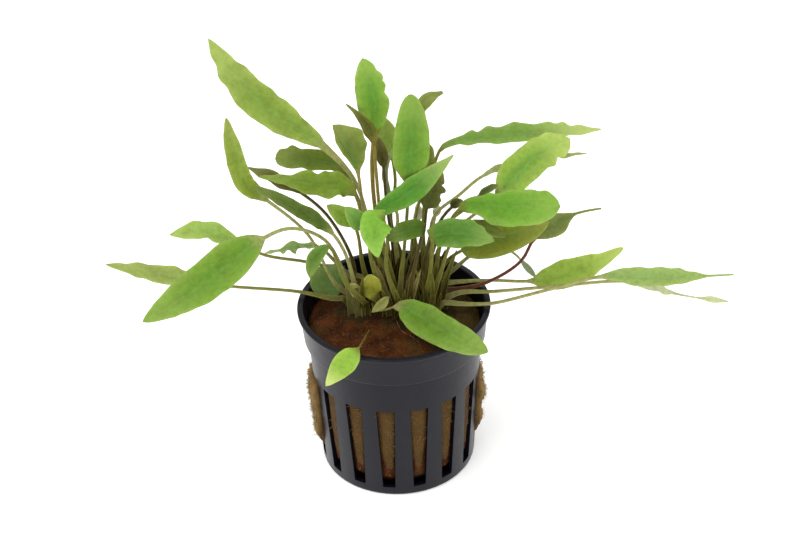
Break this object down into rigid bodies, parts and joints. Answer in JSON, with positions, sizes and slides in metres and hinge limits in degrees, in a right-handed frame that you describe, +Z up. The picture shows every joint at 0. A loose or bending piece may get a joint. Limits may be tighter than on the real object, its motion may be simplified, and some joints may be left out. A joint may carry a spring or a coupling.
{
  "type": "potted cryptocoryne",
  "caption": "Aquarium cryptocoryne with lance-shaped green leaves on thin arching stalks, growing from brown stone wool in a round slotted charcoal net pot.",
  "frame": {"origin": "centre of the pot's flat base, on the surface the pot stands on", "axes": "+Z up along the pot's axis, -Y the side of the pot facing the viewer, +X to the viewer's right, along which the leaves spread furthest"},
  "size_m": [0.1687, 0.0582, 0.1172],
  "materials": {
    "charcoal_plastic": "satin",
    "stone_wool": "matte",
    "rootstock": "matte",
    "leaf_light": "satin",
    "leaf_mid": "satin",
    "leaf_vivid": "satin",
    "leaf_bluish": "satin",
    "leaf_dark": "satin",
    "leaf_olive": "satin",
    "leaf_brown": "satin",
    "leaf_yellow": "satin"
  },
  "bodies": {
    "root": {"pot": "charcoal_plastic", "stone_wool": "stone_wool", "crown_left": "rootstock", "crown_back": "rootstock", "crown_front": "rootstock", "crown_right": "rootstock", "crown_far": "rootstock", "leaf_left_strap": "leaf_light", "leaf_left_narrow": "leaf_dark", "leaf_left_brown_edge": "leaf_brown", "leaf_left_inner_yellow": "leaf_yellow", "leaf_low_left_oval": "leaf_mid", "leaf_low_left_narrow": "leaf_light", "leaf_left_wavy": "leaf_vivid", "leaf_left_drooping": "leaf_bluish", "leaf_inner_small_yellow": "leaf_yellow", "leaf_front_right": "leaf_mid", "leaf_tall_left_lance": "leaf_light", "leaf_left_small_oval": "leaf_dark", "leaf_left_level": "leaf_mid", "leaf_top_centre": "leaf_mid", "leaf_top_reddish": "leaf_brown", "leaf_top_olive": "leaf_olive", "leaf_inner_brown": "leaf_brown", "leaf_low_left_back": "leaf_light", "leaf_in_pot_broad": "leaf_dark", "leaf_back_grey_twist": "leaf_bluish", "leaf_left_inner_blue": "leaf_bluish", "leaf_front_hanging": "leaf_light", "leaf_inner_round_yellow": "leaf_yellow", "leaf_sliver": "leaf_yellow", "leaf_centre_vivid": "leaf_vivid", "leaf_tall_centre": "leaf_mid", "leaf_centre_dark": "leaf_dark", "leaf_centre_brown": "leaf_brown", "leaf_right_bluish": "leaf_bluish", "leaf_right_olive_tip": "leaf_olive", "leaf_right_broad": "leaf_vivid", "leaf_low_right_far": "leaf_light", "leaf_low_right_withered": "leaf_light", "leaf_right_curled": "leaf_olive", "leaf_curled_bud": "leaf_brown", "leaf_right_olive": "leaf_olive", "leaf_right_thin_bud": "leaf_dark", "leaf_back_green": "leaf_vivid", "leaf_back_thin_tip": "leaf_olive", "leaf_right_long": "leaf_vivid", "leaf_right_broad_back": "leaf_light", "leaf_right_edge_on": "leaf_olive", "leaf_low_right_near": "leaf_light", "leaf_thin_withered": "leaf_light", "leaf_back_pale_left": "leaf_light", "leaf_back_pale_right": "leaf_light", "leaf_over_rim": "leaf_yellow"}
  },
  "joints": []
}
